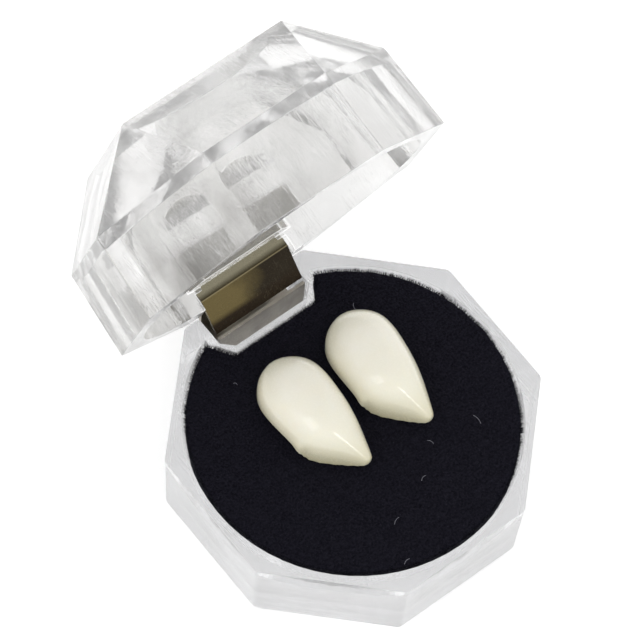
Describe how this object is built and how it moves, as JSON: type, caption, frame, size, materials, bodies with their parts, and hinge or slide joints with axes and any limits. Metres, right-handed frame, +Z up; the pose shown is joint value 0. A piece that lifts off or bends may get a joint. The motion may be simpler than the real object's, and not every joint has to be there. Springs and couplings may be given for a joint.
{
  "type": "pair of vampire fang caps in a clear hinged box",
  "caption": "Two hollow ivory costume fang caps lying on a black velvet pad in a clear octagonal faceted box with its hinged lid standing open.",
  "frame": {"origin": "centre of the tray's foot, on the surface that the box stands on", "axes": "+X to the box's right, +Y towards the hinge side, +Z up"},
  "size_m": [0.04, 0.0553, 0.0524],
  "materials": {
    "clear_plastic": "polished clear moulded acrylic",
    "black_velvet": "short velvet nap",
    "grey_sheet_metal": "satin",
    "olive_sheet_metal": "dull bronzed",
    "ivory_resin": "satin glazed resin"
  },
  "bodies": {
    "box": {"base_tray": "clear_plastic", "velvet_pad": "black_velvet", "hinge_tray_leaf": "grey_sheet_metal", "hinge_pin": "grey_sheet_metal", "fang_left": "ivory_resin", "fang_right": "ivory_resin"},
    "lid": {"lid_dome": "clear_plastic", "hinge_lid_leaf": "olive_sheet_metal"}
  },
  "joints": [
    {"name": "lid_hinge", "type": "hinge", "parent": "box", "child": "lid", "pos_m": [0, 0.0204, 0.0114], "axis": [1, 0, 0], "range_deg": [0, 75]}
  ]
}
